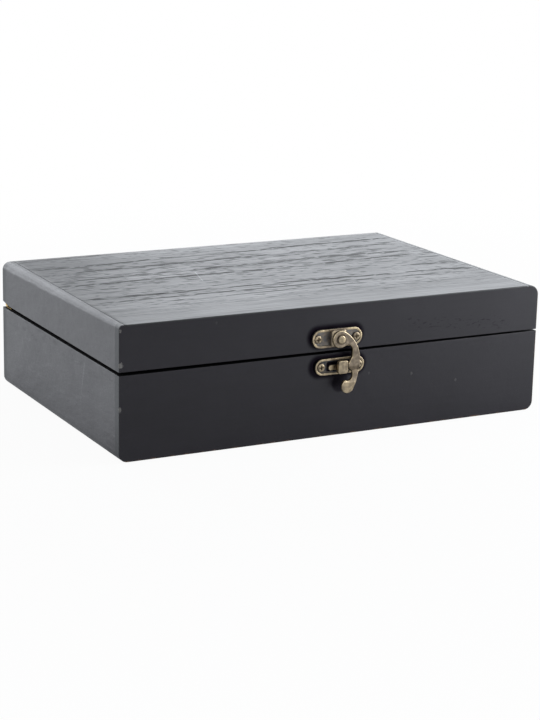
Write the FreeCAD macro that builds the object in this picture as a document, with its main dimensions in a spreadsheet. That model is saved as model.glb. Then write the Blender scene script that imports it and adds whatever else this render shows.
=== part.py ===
import FreeCAD, Part
import math
import os
import re
import Sketcher

# Flat wooden box with a hinged lid and a swing-hook latch, in millimetres.
# The origin is the centre of the underside. X runs to the right, Y to the back and Z up.

SIZES = [
    # The box and its boards
    ("box_length", 240, "outside, left to right"),
    ("box_depth", 160, "outside, front to back"),
    ("box_height", 68, "underside to top"),
    ("base_rim_height", 43.3, "underside to the rim of the base"),
    ("seam_left", 1.55, "open seam between base and lid at the front left corner"),
    ("seam_right", 0.8, "open seam between base and lid at the front right corner"),
    ("wall", 9, "thickness of the front, back and side boards"),
    ("corner_lip", 5, "part of the front and back boards that covers the ends of the side boards"),
    ("top_round", 5.3, "rounding along the top of the right side board"),
    ("top_band_flat", 0.5, "flat strip between that rounding and the top panel"),
    ("left_round_front", 2, "rounding along the top of the left side board, at its front end"),
    ("left_round_back", 4.2, "the same rounding at its back end"),
    ("left_flat_front", 0.8, "flat strip between that rounding and the top panel, at the front end"),
    ("left_flat_back", 1.6, "the same strip at the back end"),
    ("bottom_round", 4.7, "rounding along the bottom of the side boards"),
    ("bottom_band_flat", 1, "flat strip between that rounding and the bottom panel"),
    ("top_board_thickness", 4.3, "board under the veneer"),
    ("veneer_thickness", 0.7, "grained sheet on the top board"),
    ("veneer_gap", 0.3, "groove between the veneer and each side board"),
    ("bottom_thickness", 4, "bottom panel"),
    ("edge_ease", 0.5, "rounding of the outer edges"),
    ("rim_ease", 0.3, "rounding of the outer edges at the seam"),
    # The continuous hinge along the back
    ("hinge_end_gap", 1.5, "each end of the hinge to the box's side face"),
    ("hinge_inset", 1.2, "pin axis to the back face"),
    ("hinge_splay", 8.2, "slope of the lid's back rim, in degrees"),
    ("knuckle_count", 19, "knuckles on both leaves together, an odd number"),
    ("knuckle_radius", 1.2, "outside of a knuckle"),
    ("knuckle_clearance", 0.3, "knuckle to the rims and leaves it turns past"),
    ("knuckle_side_gap", 0.2, "between neighbouring knuckles"),
    ("pin_radius", 0.6, "hinge pin"),
    ("pin_clearance", 0.05, "pin to knuckle, all round"),
    ("leaf_thickness", 0.5, "hinge leaf"),
    ("leaf_set_back", 0.3, "leaf's inner edge to the inside of the back wall"),
    ("base_hinge_screw_count", 6, "screws in the base leaf"),
    ("lid_hinge_screw_count", 5, "screws in the lid leaf"),
    ("hinge_screw_margin", 17, "end of the base leaf to its first screw"),
    ("hinge_screw_radius", 0.9, "shank"),
    ("hinge_screw_depth", 7, "shank's length in the wood"),
    ("hinge_screw_head_radius", 1.6, "head"),
    ("hinge_screw_head_height", 0.5, "head"),
    ("hinge_screw_slot_width", 0.5, "slot in the head"),
    ("hinge_screw_slot_depth", 0.25, "slot in the head"),
    ("screw_clearance", 0.05, "shank to its hole, all round"),
    # The latch plate on the lid and the catch plate on the base
    ("latch_shift", -2.1, "latch plate's centre, right of the box's centre"),
    ("latch_above_rim", 6.725, "latch plate's centre above the middle of the lid's front rim"),
    ("latch_plate_length", 28.4, "latch plate"),
    ("latch_plate_height", 9.4, "latch plate"),
    ("catch_shift", -0.25, "catch plate's centre, right of the box's centre"),
    ("catch_below_rim", 6.7, "catch plate's centre below the base's rim"),
    ("catch_plate_length", 28, "catch plate"),
    ("catch_plate_height", 8.5, "catch plate"),
    ("plate_thickness", 0.9, "sunk field of both plates"),
    ("plate_rim_width", 1.1, "raised rim of both plates"),
    ("plate_rim_height", 0.6, "raised rim above the field"),
    ("plate_rim_ease", 0.25, "rounding of the rim"),
    ("plate_screw_inset", 3.3, "round end of a plate to its screw"),
    ("plate_screw_radius", 0.95, "shank"),
    ("plate_screw_depth", 6, "shank's length in the wood"),
    ("plate_screw_head_radius", 2.1, "head"),
    ("plate_screw_head_height", 1, "head"),
    ("plate_screw_head_round", 0.7, "rounding of the head"),
    ("plate_screw_slot_length", 2.6, "each bar of the cross slot"),
    ("plate_screw_slot_width", 0.7, "each bar of the cross slot"),
    ("plate_screw_slot_depth", 0.6, "cross slot"),
    ("boss_width", 8.4, "raised middle of the latch plate, left to right"),
    ("boss_height", 8.6, "raised middle of the latch plate, bottom to top"),
    ("boss_rise", 3.75, "lid's front face to the top of the boss"),
    ("boss_round", 1.5, "corners of the boss"),
    ("boss_bevel", 0.8, "bevel round the top of the boss"),
    ("window_length", 15, "cut-out in the catch plate"),
    ("window_height", 5, "cut-out in the catch plate"),
    ("window_round", 1, "corners of the cut-out"),
    ("tongue_height", 2.6, "tongue in the cut-out, bottom to top"),
    ("tongue_thickness", 1.3, "tongue in the cut-out, front to back"),
    ("tongue_end_gap", 1.2, "tongue's free end to the cut-out"),
    ("tongue_drop", 0.6, "tongue's middle below its plate's centre"),
    ("neck_width", 2.4, "neck of the catch head, square"),
    ("catch_head_shift", 0, "catch head's centre, right of its plate's centre"),
    ("catch_head_drop", 0, "catch head's centre below its plate's centre"),
    ("catch_head_width", 5.5, "catch head"),
    ("catch_head_height", 6.8, "catch head"),
    ("catch_head_round", 1.2, "corners of the catch head"),
    ("catch_head_thickness", 1.7, "catch head"),
    ("catch_head_rise", 5.3, "base's front face to the front of the catch head"),
    ("catch_head_ease", 0.5, "rounding of the catch head's front"),
    # The rivet and the swing hook, whose outline is given right of and below the rivet
    ("rivet_radius", 1.4, "shank"),
    ("rivet_head_radius", 2.1, "head"),
    ("rivet_head_height", 0.85, "head"),
    ("rivet_head_round", 0.5, "rounding of the head"),
    ("pivot_clearance", 0.05, "rivet to hook and boss, all round"),
    ("hook_clearance", 0.15, "hook to boss, and hook to rivet head"),
    ("hook_thickness", 1.5, "hook"),
    ("hook_ease", 0.5, "rounding of the hook's front edges"),
    ("eye_radius", 4.4, "round end at the rivet"),
    ("shoulder_angle", 61, "where the outer edge leaves the eye, in degrees"),
    ("shoulder_radius", 18, "outer bend from the eye to the shank"),
    ("throat_angle", 56, "where the inner edge leaves the eye, in degrees below level"),
    ("throat_radius", 2.8, "hollow between the eye and the shank"),
    ("spur_root_drop", 9.4, "rivet to where the spur starts"),
    ("spur_tip", 2.3, "flat of the spur's tip"),
    ("stop_gap", 0.2, "spur's tip to the catch head when shut"),
    ("bowl_drop", 18.1, "rivet to the middle of the bowl between spur and thumb tab"),
    ("bowl_radius", 3.2, "that bowl"),
    ("arm_drop", 18.4, "rivet to the end of the arm's outer bend"),
    ("arm_radius", 16, "outer bend of the arm"),
    ("tab_drop", 24.2, "rivet to the middle of the thumb tab"),
    ("tab_radius", 3.5, "thumb tab"),
    ("tab_clearance", 0.4, "back of the thumb tab to the front of the catch head"),
    ("joggle_drop", 16.2, "rivet to the start of the step out to the thumb tab"),
    ("joggle_height", 6, "height of that step"),
]

doc = FreeCAD.newDocument("hinged_box")
sheet = doc.addObject("Spreadsheet::Sheet", "Sizes")
for row, (alias, number, meaning) in enumerate(SIZES, start=1):
    sheet.set(f"A{row}", meaning)
    sheet.set(f"B{row}", str(number))
    sheet.setAlias(f"B{row}", alias)
doc.recompute()
ALIASES = {alias for alias, number, meaning in SIZES}


def cells(words):
    """The expression with each size read from the sheet."""
    return re.sub(r"[a-z_]+", lambda word: "Sizes." + word[0] if word[0] in ALIASES else word[0], words)


def value(words):
    """What an expression in sizes comes to."""
    return float(sheet.evalExpression(cells(words)))


# Places that several pieces share, as expressions in the sizes
HALF_LENGTH = "(box_length / 2)"
HALF_DEPTH = "(box_depth / 2)"
INSIDE_X = f"({HALF_LENGTH} - wall)"
INSIDE_Y = f"({HALF_DEPTH} - wall)"
LIP_Y = f"({HALF_DEPTH} - corner_lip)"
CORE = "(wall - corner_lip)"
TOP_PANEL_X = f"({HALF_LENGTH} - top_round - top_band_flat)"
PANEL_LEFT_FRONT = f"({HALF_LENGTH} - left_round_front - left_flat_front)"
PANEL_LEFT_BACK = f"({HALF_LENGTH} - left_round_back - left_flat_back)"
BOTTOM_PANEL_X = f"({HALF_LENGTH} - bottom_round - bottom_band_flat)"
VENEER_Z = "(box_height - veneer_thickness)"
TOP_LEDGE_Z = f"({VENEER_Z} - top_board_thickness)"
LID_RIM_LEFT = "(base_rim_height + seam_left)"
LID_RIM_RIGHT = "(base_rim_height + seam_right)"


def lid_front_rim(x):
    """Height of the lid's front rim, which falls from the left corner to the right."""
    return f"({LID_RIM_LEFT} + (0.5 + {x} / box_length) * (seam_right - seam_left))"


PIN_DROP = "(knuckle_radius + knuckle_clearance)"
PIN_Y = f"({HALF_DEPTH} - hinge_inset)"
PIN_Z = f"(base_rim_height + {PIN_DROP})"
SPLAY = "(hinge_splay * 1deg)"
HINGE_X = f"({HALF_LENGTH} - hinge_end_gap)"
KNUCKLE_PITCH = f"(2 * {HINGE_X} / knuckle_count)"
KNUCKLE_LENGTH = f"({KNUCKLE_PITCH} - knuckle_side_gap)"
LEAF_REACH = f"({PIN_Y} - {INSIDE_Y} - leaf_set_back)"
LEAF_EDGE = PIN_DROP
ROLL_THICKNESS = "(knuckle_clearance + knuckle_radius - pin_radius)"
HINGE_SCREW_SPACING = f"(2 * ({HINGE_X} - hinge_screw_margin) / (base_hinge_screw_count - 1))"
HINGE_SCREW_REACH = f"(({LEAF_REACH} + {LEAF_EDGE}) / 2)"

LATCH_Z = f"({lid_front_rim('0')} + latch_above_rim)"
CATCH_Z = "(base_rim_height - catch_below_rim)"
PLATE_FACE = f"({HALF_DEPTH} + plate_thickness)"
PLATE_FRONT = f"({PLATE_FACE} + plate_rim_height)"
BOSS_FRONT = f"({HALF_DEPTH} + boss_rise)"
HEAD_X = "(catch_shift + catch_head_shift)"
HEAD_Z = f"({CATCH_Z} - catch_head_drop)"
HEAD_FRONT = f"({HALF_DEPTH} + catch_head_rise)"
HEAD_BACK = f"({HEAD_FRONT} - catch_head_thickness)"
HOOK_BACK = f"({BOSS_FRONT} + hook_clearance)"
HOOK_FRONT = f"({HOOK_BACK} + hook_thickness)"
TAB_BACK = f"({HEAD_FRONT} + tab_clearance)"
TAB_FRONT = f"({TAB_BACK} + hook_thickness)"
RIVET_FACE = f"({HOOK_FRONT} + hook_clearance)"
JOGGLE_TOP = f"({LATCH_Z} - joggle_drop)"
JOGGLE_BOTTOM = f"({JOGGLE_TOP} - joggle_height)"


def lid_back_rim(y):
    """Height of the lid's sloping back rim: a plane as far from the pin as the base's rim is."""
    return f"({PIN_Z} + {PIN_DROP} / cos({SPLAY}) + ({y} - {PIN_Y}) * tan({SPLAY}))"


LID_BACK_RIM_Z = lid_back_rim(INSIDE_Y)


def new_body(name):
    body = doc.addObject("PartDesign::Body", name)
    body.Label = name
    return body


def new_sketch(body, role, offset="0"):
    """A sketch on one of the body's own planes, moved along the plane's normal (+Z, -Y or +X)."""
    sketch = body.newObject("Sketcher::SketchObject", body.Name + "_sketch")
    plane = next(feature for feature in body.Origin.OriginFeatures if feature.Role == role)
    sketch.AttachmentSupport = (plane, [""])
    sketch.MapMode = "FlatFace"
    sketch.setExpression("AttachmentOffset.Base.z", cells(offset))
    return sketch


def hold(sketch, kind, words, *where):
    """A constraint whose size follows the sheet."""
    index = sketch.addConstraint(Sketcher.Constraint(kind, *where, value(words)))
    sketch.setExpression(f"Constraints[{index}]", cells(words))


def outline(sketch, corners):
    """Draw a closed outline, counter-clockwise. A corner is (x, y), or (x, y, radius, bend) where an arc
    runs on to the next corner: the bend "out" swells the outline, and "in" hollows it."""
    points = [FreeCAD.Vector(value(corner[0]), value(corner[1]), 0) for corner in corners]
    ends = []
    for corner, start, stop in zip(corners, points, points[1:] + points[:1]):
        if len(corner) == 2:
            ends.append((sketch.addGeometry(Part.LineSegment(start, stop)), 1, 2))
            continue
        radius = value(corner[2])
        side = 1 if corner[3] == "out" else -1
        chord = stop - start
        left = FreeCAD.Vector(-chord.y, chord.x, 0).normalize()
        rise = math.sqrt(max(radius ** 2 - chord.Length ** 2 / 4, 0))
        centre = (start + stop) * 0.5 + left * (rise * side)
        angles = [math.atan2(point.y - centre.y, point.x - centre.x) for point in (start, stop)]
        round_edge = Part.Circle(centre, FreeCAD.Vector(0, 0, 1), radius)
        arc = sketch.addGeometry(Part.ArcOfCircle(round_edge, *angles[::side]))
        ends.append((arc, 1, 2) if side > 0 else (arc, 2, 1))
    for here, (corner, (edge, first, last)) in enumerate(zip(corners, ends)):
        before, before_first, before_last = ends[here - 1]
        sketch.addConstraint(Sketcher.Constraint("Coincident", before, before_last, edge, first))
        hold(sketch, "DistanceX", corner[0], -1, 1, edge, first)
        hold(sketch, "DistanceY", corner[1], -1, 1, edge, first)
        if len(corner) == 4:
            hold(sketch, "Radius", corner[2], edge)


def circle(sketch, x, y, radius):
    centre = FreeCAD.Vector(value(x), value(y), 0)
    edge = sketch.addGeometry(Part.Circle(centre, FreeCAD.Vector(0, 0, 1), value(radius)))
    hold(sketch, "DistanceX", x, -1, 1, edge, 3)
    hold(sketch, "DistanceY", y, -1, 1, edge, 3)
    hold(sketch, "Radius", radius, edge)


def rectangle(left, bottom, right, top):
    return [(left, bottom), (right, bottom), (right, top), (left, top)]


def rounded(x, z, width, height, radius):
    """Corners of a rectangle about its centre, with its four corners rounded."""
    left, right = f"({x} - {width} / 2)", f"({x} + {width} / 2)"
    bottom, top = f"({z} - {height} / 2)", f"({z} + {height} / 2)"
    return [
        (f"{left} + {radius}", bottom),
        (f"{right} - {radius}", bottom, radius, "out"),
        (right, f"{bottom} + {radius}"),
        (right, f"{top} - {radius}", radius, "out"),
        (f"{right} - {radius}", top),
        (f"{left} + {radius}", top, radius, "out"),
        (left, f"{top} - {radius}"),
        (left, f"{bottom} + {radius}", radius, "out"),
    ]


def obround(x, z, length, height):
    """Corners of a strip with round ends about its centre, each end in two quarter arcs."""
    radius = f"({height} / 2)"
    straight = f"({length} / 2 - {radius})"
    return [
        (f"{x} - {straight}", f"{z} - {radius}"),
        (f"{x} + {straight}", f"{z} - {radius}", radius, "out"),
        (f"{x} + {straight} + {radius}", z, radius, "out"),
        (f"{x} + {straight}", f"{z} + {radius}"),
        (f"{x} - {straight}", f"{z} + {radius}", radius, "out"),
        (f"{x} - {straight} - {radius}", z, radius, "out"),
    ]


def shape_from(body, sketch, length, kind="Pad", backwards=False):
    """Pad or pocket a sketch. A pad follows the plane's normal, and a pocket goes against it."""
    before = 0 if body.Shape.isNull() else body.Shape.Volume
    feature = body.newObject("PartDesign::" + kind, body.Name + "_" + kind.lower())
    feature.Profile = sketch
    feature.setExpression("Length", cells(length))
    feature.Reversed = backwards
    doc.recompute()
    grown = feature.Shape.Volume - before
    if grown == 0 or (grown > 0) != (kind == "Pad"):
        raise ValueError(f"{feature.Name} misses its piece")
    return feature


def pad(body, role, offset, corners, length, backwards=False):
    sketch = new_sketch(body, role, offset)
    outline(sketch, corners)
    return shape_from(body, sketch, length, "Pad", backwards)


def pocket(body, role, offset, corners, length, backwards=False):
    sketch = new_sketch(body, role, offset)
    outline(sketch, corners)
    return shape_from(body, sketch, length, "Pocket", backwards)


def peg(body, role, offset, centre, radius, length, backwards=False):
    sketch = new_sketch(body, role, offset)
    circle(sketch, *centre, radius)
    return shape_from(body, sketch, length, "Pad", backwards)


def bore(body, role, offset, centres, radius, length, backwards=False):
    sketch = new_sketch(body, role, offset)
    for centre in centres:
        circle(sketch, *centre, radius)
    return shape_from(body, sketch, length, "Pocket", backwards)


def ease(body, size, chosen, kind="Fillet"):
    """Round or bevel the edges of the body that the test picks."""
    base = body.Tip
    names = [f"Edge{place}" for place, edge in enumerate(base.Shape.Edges, start=1) if chosen(edge)]
    feature = body.newObject("PartDesign::" + kind, body.Name + "_" + kind.lower())
    feature.Base = (base, names)
    feature.setExpression("Radius" if kind == "Fillet" else "Size", cells(size))
    doc.recompute()


def repeat(body, features, spacing, count):
    """Copy features along X. With no features named, the whole body is copied."""
    pattern = body.newObject("PartDesign::LinearPattern", body.Name + "_row")
    x_axis = next(feature for feature in body.Origin.OriginFeatures if feature.Role == "X_Axis")
    pattern.Originals = features
    pattern.TransformMode = "Features" if features else "Whole shape"
    pattern.Direction = (x_axis, [""])
    pattern.Mode = "Spacing"
    pattern.setExpression("Offset", cells(spacing))
    pattern.setExpression("Occurrences", cells(count))
    body.Tip = pattern
    doc.recompute()


def seat_on_pin(thing, placing):
    """Put a thing's local origin on the pin axis, turned with the lid's sloping back rim."""
    thing.setExpression(placing + ".Base.y", cells(PIN_Y))
    thing.setExpression(placing + ".Base.z", cells(PIN_Z))
    thing.setExpression(placing + ".Rotation.Axis.x", "1")
    thing.setExpression(placing + ".Rotation.Axis.z", "0")
    thing.setExpression(placing + ".Rotation.Angle", cells("hinge_splay"))


def near(one, other):
    return abs(one - other) < 1e-4


def in_plane(edge, axis, place):
    """Whether an edge lies in the plane across an axis at a place."""
    box = edge.BoundBox
    return near(getattr(box, axis + "Min"), place) and near(getattr(box, axis + "Max"), place)


def on_front(place):
    """Test for the edges of a front-facing surface."""
    front = -value(place)
    return lambda edge: in_plane(edge, "Y", front)


def outer_rim(height):
    """Test for the outer edges of a board's seam face, whose height at a place is given."""
    side = value(f"{HALF_LENGTH} - edge_ease") - 1e-4
    end = value(f"{HALF_DEPTH} - edge_ease") - 1e-4

    def chosen(edge):
        places = [vertex.Point for vertex in edge.Vertexes]
        outside = all(abs(place.x) > side or abs(place.y) > end for place in places)
        return outside and all(near(place.z, height(place)) for place in places)
    return chosen


def base_seam(place):
    return value("base_rim_height")


def lid_seam(place):
    """Height of the lid's seam, which rises to the back and slopes at the hinge."""
    if place.y <= value(f"-{LIP_Y}"):
        return value(lid_front_rim(f"({place.x})"))
    if place.y >= value(INSIDE_Y):
        return value(lid_back_rim(f"{place.y}"))
    front_rim = LID_RIM_LEFT if place.x < 0 else LID_RIM_RIGHT
    share = f"(({place.y} + {LIP_Y}) / ({INSIDE_Y} + {LIP_Y}))"
    return value(f"{front_rim} + {share} * ({LID_BACK_RIM_Z} - {front_rim})")


def outer_face(place, left_step):
    """Test for the outer edges of a front or back board's face, but for its rim, steps and ledge."""
    depth = value(place)
    left, right = -value(left_step) - 1e-4, value(TOP_PANEL_X) + 1e-4

    def chosen(edge):
        box = edge.BoundBox
        beyond = box.Center.x < left or box.Center.x > right
        return in_plane(edge, "Y", depth) and (near(box.ZMin, 0) or beyond)
    return chosen


BASE_SKIN = [
    (f"-{HALF_LENGTH}", "base_rim_height"),
    (f"-{HALF_LENGTH}", "bottom_round", "bottom_round", "out"),
    (f"-{HALF_LENGTH} + bottom_round", "0"),
    (f"{HALF_LENGTH} - bottom_round", "0", "bottom_round", "out"),
    (HALF_LENGTH, "bottom_round"),
    (HALF_LENGTH, "base_rim_height"),
]
BASE_CORE = rectangle(f"-{INSIDE_X}", "bottom_thickness", INSIDE_X, "base_rim_height")


def lid_skin(left_rim, right_rim, left_panel, left_round):
    """Front view of a lid board with horns that carry the side boards' rounding past the top panel."""
    return [
        (f"-{HALF_LENGTH}", left_rim),
        (HALF_LENGTH, right_rim),
        (HALF_LENGTH, "box_height - top_round", "top_round", "out"),
        (f"{HALF_LENGTH} - top_round", "box_height"),
        (TOP_PANEL_X, "box_height"),
        (TOP_PANEL_X, TOP_LEDGE_Z),
        (f"-{left_panel}", TOP_LEDGE_Z),
        (f"-{left_panel}", "box_height"),
        (f"-{HALF_LENGTH} + {left_round}", "box_height", left_round, "out"),
        (f"-{HALF_LENGTH}", f"box_height - {left_round}"),
    ]


def end_board(name, skin_at, core_at, skin, core):
    """A front or back board: a skin over the whole length, and a core between the side boards."""
    body = new_body(name)
    pad(body, "XZ_Plane", skin_at, skin, "corner_lip")
    pad(body, "XZ_Plane", core_at, core, CORE)
    return body


def cut_lid_seam(body, front_rim):
    """Take away what is below the lid's seam, which rises to the back and slopes at the hinge."""
    seam = [
        (f"-{HALF_DEPTH}", "base_rim_height"),
        (HALF_DEPTH, "base_rim_height"),
        (HALF_DEPTH, lid_back_rim(HALF_DEPTH)),
        (INSIDE_Y, LID_BACK_RIM_Z),
        (f"-{LIP_Y}", front_rim),
        (f"-{HALF_DEPTH}", front_rim),
    ]
    pocket(body, "YZ_Plane", HALF_LENGTH, seam, "box_length")


def screw_places(count, depth):
    """Centres of a row of hinge screws, about the middle of the box."""
    row = range(int(value(count)))
    return [(f"({place} - ({count} - 1) / 2) * {HINGE_SCREW_SPACING}", depth) for place in row]


def plate_screw_places(x, z, length):
    """Centres of the two screws of a plate, one near each round end."""
    reach = f"({length} / 2 - plate_screw_inset)"
    return [(f"{x} - {reach}", z), (f"{x} + {reach}", z)]


LATCH_SCREWS = plate_screw_places("latch_shift", LATCH_Z, "latch_plate_length")
CATCH_SCREWS = plate_screw_places("catch_shift", CATCH_Z, "catch_plate_length")
PLATE_SCREW_HOLE = "plate_screw_radius + screw_clearance"
HINGE_SCREW_HOLE = "hinge_screw_radius + screw_clearance"

# Base: four boards round a bottom panel
front = end_board("base_front_board", LIP_Y, INSIDE_Y, BASE_SKIN, BASE_CORE)
ease(front, "edge_ease", outer_face(f"-{HALF_DEPTH}", TOP_PANEL_X))
ease(front, "rim_ease", outer_rim(base_seam))
bore(front, "XZ_Plane", HALF_DEPTH, CATCH_SCREWS, PLATE_SCREW_HOLE, "plate_screw_depth + screw_clearance")

back = end_board("base_back_board", f"-{HALF_DEPTH}", f"-{LIP_Y}", BASE_SKIN, BASE_CORE)
ease(back, "edge_ease", outer_face(HALF_DEPTH, TOP_PANEL_X))
ease(back, "rim_ease", outer_rim(base_seam))
bore(back, "XY_Plane", "base_rim_height",
     screw_places("base_hinge_screw_count", f"{PIN_Y} - {HINGE_SCREW_REACH}"),
     HINGE_SCREW_HOLE, "hinge_screw_depth + screw_clearance")

left = new_body("base_left_board")
pad(left, "XZ_Plane", f"-{LIP_Y}", [
    (f"-{HALF_LENGTH}", "bottom_round", "bottom_round", "out"),
    (f"-{HALF_LENGTH} + bottom_round", "0"),
    (f"-{BOTTOM_PANEL_X}", "0"),
    (f"-{BOTTOM_PANEL_X}", "bottom_thickness"),
    (f"-{INSIDE_X}", "bottom_thickness"),
    (f"-{INSIDE_X}", "base_rim_height"),
    (f"-{HALF_LENGTH}", "base_rim_height"),
], f"2 * {LIP_Y}")
ease(left, "rim_ease", outer_rim(base_seam))


def mirrored(name, source):
    """The same board for the other side of the box."""
    board = doc.addObject("Part::Mirroring", name)
    board.Label = name
    board.Source = source
    board.Normal = (1, 0, 0)
    doc.recompute()
    return board


def plain_board(name, half_x, half_y, bottom, thickness):
    """A flat rectangular board about the box's middle."""
    board = doc.addObject("Part::Box", name)
    board.Label = name
    board.setExpression("Length", cells(f"2 * {half_x}"))
    board.setExpression("Width", cells(f"2 * {half_y}"))
    board.setExpression("Height", cells(thickness))
    board.setExpression("Placement.Base.x", cells(f"-{half_x}"))
    board.setExpression("Placement.Base.y", cells(f"-{half_y}"))
    board.setExpression("Placement.Base.z", cells(bottom))
    doc.recompute()
    return board


mirrored("base_right_board", left)
plain_board("base_bottom_panel", BOTTOM_PANEL_X, LIP_Y, "0", "bottom_thickness")

# Lid: four boards under a top board with a grained veneer. The left board's rounding widens to the back.
front = end_board("lid_front_board", LIP_Y, INSIDE_Y,
                  lid_skin(LID_RIM_LEFT, LID_RIM_RIGHT, PANEL_LEFT_FRONT, "left_round_front"), [
                      (f"-{INSIDE_X}", lid_front_rim(f"(-{INSIDE_X})")),
                      (INSIDE_X, lid_front_rim(INSIDE_X)),
                      (INSIDE_X, TOP_LEDGE_Z),
                      (f"-{INSIDE_X}", TOP_LEDGE_Z),
                  ])
ease(front, "edge_ease", outer_face(f"-{HALF_DEPTH}", PANEL_LEFT_FRONT))
ease(front, "rim_ease", outer_rim(lid_seam))
bore(front, "XZ_Plane", HALF_DEPTH, LATCH_SCREWS, PLATE_SCREW_HOLE, "plate_screw_depth + screw_clearance")

back = end_board("lid_back_board", f"-{HALF_DEPTH}", f"-{LIP_Y}",
                 lid_skin("base_rim_height", "base_rim_height", PANEL_LEFT_BACK, "left_round_back"),
                 rectangle(f"-{INSIDE_X}", "base_rim_height", INSIDE_X, TOP_LEDGE_Z))
cut_lid_seam(back, LID_RIM_LEFT)
ease(back, "edge_ease", outer_face(HALF_DEPTH, PANEL_LEFT_BACK))
ease(back, "rim_ease", outer_rim(lid_seam))
holes = new_sketch(back, "XY_Plane")
seat_on_pin(holes, "AttachmentOffset")
for place in screw_places("lid_hinge_screw_count", f"-{HINGE_SCREW_REACH}"):
    circle(holes, *place, HINGE_SCREW_HOLE)
shape_from(back, holes, f"{PIN_DROP} + hinge_screw_depth + screw_clearance", "Pocket", backwards=True)

left = new_body("lid_left_board")
ends = []
for place, panel, rounding in ((LIP_Y, PANEL_LEFT_FRONT, "left_round_front"),
                               (f"-{LIP_Y}", PANEL_LEFT_BACK, "left_round_back")):
    ends.append(new_sketch(left, "XZ_Plane", place))
    outline(ends[-1], [
        (f"-{HALF_LENGTH}", "base_rim_height"),
        (f"-{INSIDE_X}", "base_rim_height"),
        (f"-{INSIDE_X}", TOP_LEDGE_Z),
        (f"-{panel}", TOP_LEDGE_Z),
        (f"-{panel}", "box_height"),
        (f"-{HALF_LENGTH} + {rounding}", "box_height", rounding, "out"),
        (f"-{HALF_LENGTH}", f"box_height - {rounding}"),
    ])
length = left.newObject("PartDesign::AdditiveLoft", "lid_left_board_loft")
length.Profile = ends[0]
length.Sections = ends[1:]
length.Ruled = True
doc.recompute()
cut_lid_seam(left, LID_RIM_LEFT)
ease(left, "rim_ease", outer_rim(lid_seam))

right = new_body("lid_right_board")
pad(right, "XZ_Plane", f"-{LIP_Y}", [
    (INSIDE_X, "base_rim_height"),
    (HALF_LENGTH, "base_rim_height"),
    (HALF_LENGTH, "box_height - top_round", "top_round", "out"),
    (f"{HALF_LENGTH} - top_round", "box_height"),
    (TOP_PANEL_X, "box_height"),
    (TOP_PANEL_X, TOP_LEDGE_Z),
    (INSIDE_X, TOP_LEDGE_Z),
], f"2 * {LIP_Y}")
cut_lid_seam(right, LID_RIM_RIGHT)
ease(right, "rim_ease", outer_rim(lid_seam))


def top_sheet(name, bottom, thickness, gap):
    """A sheet of the top panel, a gap clear of the side boards."""
    body = new_body(name)
    pad(body, "XY_Plane", bottom, [
        (f"-{PANEL_LEFT_FRONT} + {gap}", f"-{HALF_DEPTH}"),
        (f"{TOP_PANEL_X} - {gap}", f"-{HALF_DEPTH}"),
        (f"{TOP_PANEL_X} - {gap}", HALF_DEPTH),
        (f"-{PANEL_LEFT_BACK} + {gap}", HALF_DEPTH),
        (f"-{PANEL_LEFT_BACK} + {gap}", LIP_Y),
        (f"-{PANEL_LEFT_FRONT} + {gap}", f"-{LIP_Y}"),
    ], thickness)
    return body


top_sheet("lid_top_board", TOP_LEDGE_Z, "top_board_thickness", "0")
veneer = top_sheet("lid_top_veneer", VENEER_Z, "veneer_thickness", "veneer_gap")
ease(veneer, "min(edge_ease; 0.7 * veneer_thickness)",
     lambda edge: near(edge.BoundBox.YLength, 0) and near(edge.BoundBox.ZMin, value("box_height")))


def hinge_leaf(name, low, first, knuckles, screws):
    """A leaf with its share of the knuckles, drawn from the pin axis. The low leaf lies on the base's rim."""
    body = new_body(name)
    leaf = f"-{PIN_DROP}" if low else f"({PIN_DROP} - leaf_thickness)"
    pad(body, "XY_Plane", leaf, rectangle(f"-{HINGE_X}", f"-{LEAF_REACH}", HINGE_X, f"-{LEAF_EDGE}"),
        "leaf_thickness")
    bore(body, "XY_Plane", f"{leaf} + leaf_thickness", screw_places(screws, f"-{HINGE_SCREW_REACH}"),
         HINGE_SCREW_HOLE, "leaf_thickness")
    start = f"({first} * {KNUCKLE_PITCH} + knuckle_side_gap / 2 - {HINGE_X})"
    roll = f"-{PIN_DROP}" if low else f"({PIN_DROP} - {ROLL_THICKNESS})"
    tab = pad(body, "YZ_Plane", start,
              rectangle(f"-{LEAF_EDGE} - leaf_thickness", roll, "0", f"{roll} + {ROLL_THICKNESS}"),
              KNUCKLE_LENGTH)
    knuckle = peg(body, "YZ_Plane", start, ("0", "0"), "knuckle_radius", KNUCKLE_LENGTH)
    repeat(body, [tab, knuckle], f"2 * {KNUCKLE_PITCH}", knuckles)
    bore(body, "YZ_Plane", HINGE_X, [("0", "0")], "pin_radius + pin_clearance", f"2 * {HINGE_X}")
    return body


def hinge_screws(name, low, count):
    """A row of slotted screws through a leaf, drawn from the pin axis."""
    body = new_body(name)
    place = screw_places(count, f"-{HINGE_SCREW_REACH}")[0]
    face = f"(leaf_thickness - {PIN_DROP})" if low else f"({PIN_DROP} - leaf_thickness)"
    top = f"{face} + hinge_screw_head_height" if low else f"{face} - hinge_screw_head_height"
    peg(body, "XY_Plane", face, place, "hinge_screw_radius", "leaf_thickness + hinge_screw_depth", low)
    peg(body, "XY_Plane", face, place, "hinge_screw_head_radius", "hinge_screw_head_height", not low)
    slot = rectangle(f"{place[0]} - hinge_screw_head_radius", f"{place[1]} - hinge_screw_slot_width / 2",
                     f"{place[0]} + hinge_screw_head_radius", f"{place[1]} + hinge_screw_slot_width / 2")
    pocket(body, "XY_Plane", top, slot, "hinge_screw_slot_depth", not low)
    repeat(body, [], HINGE_SCREW_SPACING, count)
    return body


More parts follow.
